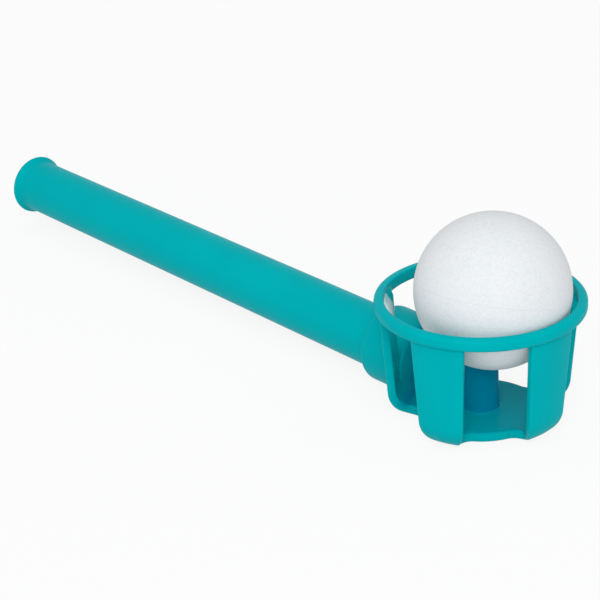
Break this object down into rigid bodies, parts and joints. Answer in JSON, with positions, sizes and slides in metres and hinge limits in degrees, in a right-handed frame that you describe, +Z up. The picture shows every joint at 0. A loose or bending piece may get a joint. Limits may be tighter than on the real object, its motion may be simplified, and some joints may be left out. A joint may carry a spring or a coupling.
{
  "type": "floating ball pipe toy",
  "caption": "Toy pipe with a straight blow tube, a windowed round basket with an upright jet nozzle, and a light foam ball that floats on the jet.",
  "frame": {"origin": "centre of the basket's flat base, on the axis of the jet nozzle", "axes": "+Z up along the jet nozzle's axis, -X towards the mouth end of the blow tube, which rises 0.8 degrees on the way"},
  "size_m": [0.2164, 0.054, 0.0563],
  "materials": {
    "basket_plastic": "satin",
    "tube_plastic": "satin",
    "ball_foam": "matte"
  },
  "bodies": {
    "basket_body": {"basket": "basket_plastic"},
    "tube_body": {"blow_tube": "tube_plastic"},
    "ball_body": {"ball": "ball_foam"}
  },
  "joints": [
    {"name": "tube_pull", "type": "slide", "parent": "basket_body", "child": "tube_body", "axis": [-0.9999, 0, 0.014], "range_m": [0, 0.02]},
    {"name": "ball_lift", "type": "slide", "parent": "basket_body", "child": "ball_body", "axis": [0, 0, 1], "range_m": [0, 0.08]}
  ]
}
